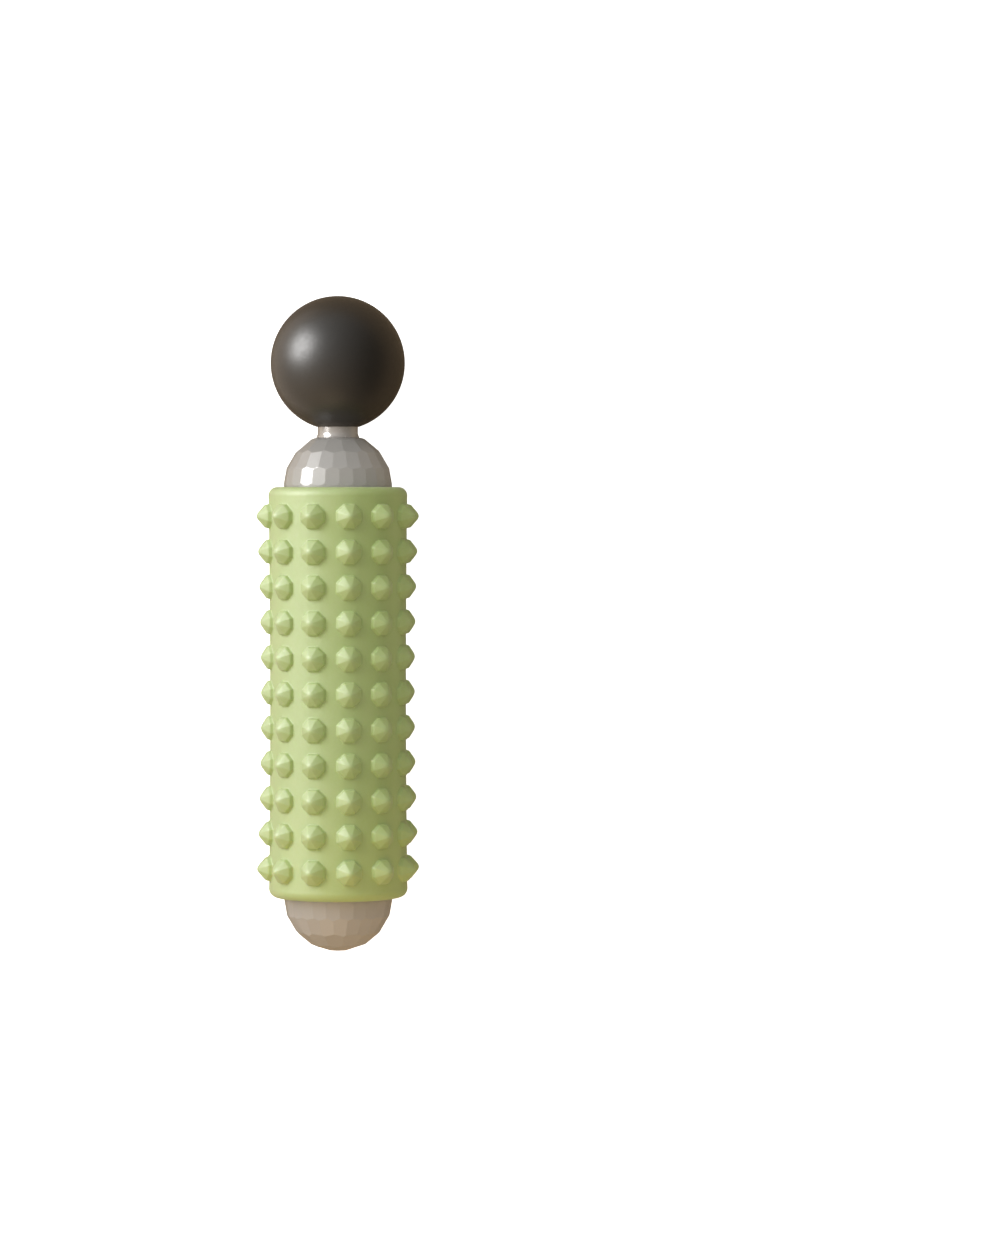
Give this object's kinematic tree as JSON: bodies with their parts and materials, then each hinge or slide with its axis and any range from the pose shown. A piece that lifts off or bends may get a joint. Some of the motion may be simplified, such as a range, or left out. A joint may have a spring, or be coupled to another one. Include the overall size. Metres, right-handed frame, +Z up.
{
  "type": "foot massage roller",
  "caption": "Studded soft sleeve that spins on an axle between two faceted domes, with a round ball head that screws onto one end.",
  "frame": {"origin": "on the floor, below the middle of the overall length, with the roller lying on two rows of its studs", "axes": "+X along the roller's axis from the plain dome to the ball, +Z up"},
  "size_m": [0.2694, 0.0658, 0.0658],
  "materials": {
    "green_tpe": "soft satin, slightly translucent sage green",
    "dome_plastic": "pearly warm grey, semi-gloss facets",
    "collar_plastic": "smooth light grey",
    "black_rubber": "satin black",
    "gasket_rubber": "matt black",
    "tube_plastic": "moulded off-white",
    "nylon": "natural nylon",
    "steel": "turned",
    "brass": "turned"
  },
  "bodies": {
    "roller": {"massage_sleeve": "green_tpe", "roller_tube": "tube_plastic", "bearing_hub_end": "tube_plastic", "bearing_hub_neck": "tube_plastic", "hub_bush_end": "nylon", "hub_bush_neck": "nylon"},
    "core": {"axle_rod": "steel", "thrust_washer_end": "nylon", "thrust_washer_neck": "nylon", "lock_nut_end": "steel", "lock_nut_neck": "steel", "end_dome": "dome_plastic", "neck_dome": "dome_plastic", "end_dome_insert": "brass", "neck_dome_insert": "brass"},
    "head_washer": {"neck_washer": "gasket_rubber"},
    "ball_head": {"neck_collar": "collar_plastic", "head_stud": "steel", "ball_core": "tube_plastic", "ball_core_nut": "brass", "ball_cover": "black_rubber"}
  },
  "joints": [
    {"name": "roller_spin", "type": "hinge", "parent": "roller", "child": "core", "pos_m": [-0.02825, 0, 0.03289], "axis": [1, 0, 0], "continuous": true},
    {"name": "head_travel", "type": "slide", "parent": "core", "child": "head_washer", "axis": [1, 0, 0], "range_m": [0, 0.012]},
    {"name": "head_turn", "type": "hinge", "parent": "head_washer", "child": "ball_head", "pos_m": [0.10715, 0, 0.03289], "axis": [1, 0, 0], "range_deg": [0, 1441]}
  ],
  "couplings": [
    {"joint": "head_turn", "follows": "head_travel", "rad_per_m": 2094.4}
  ]
}
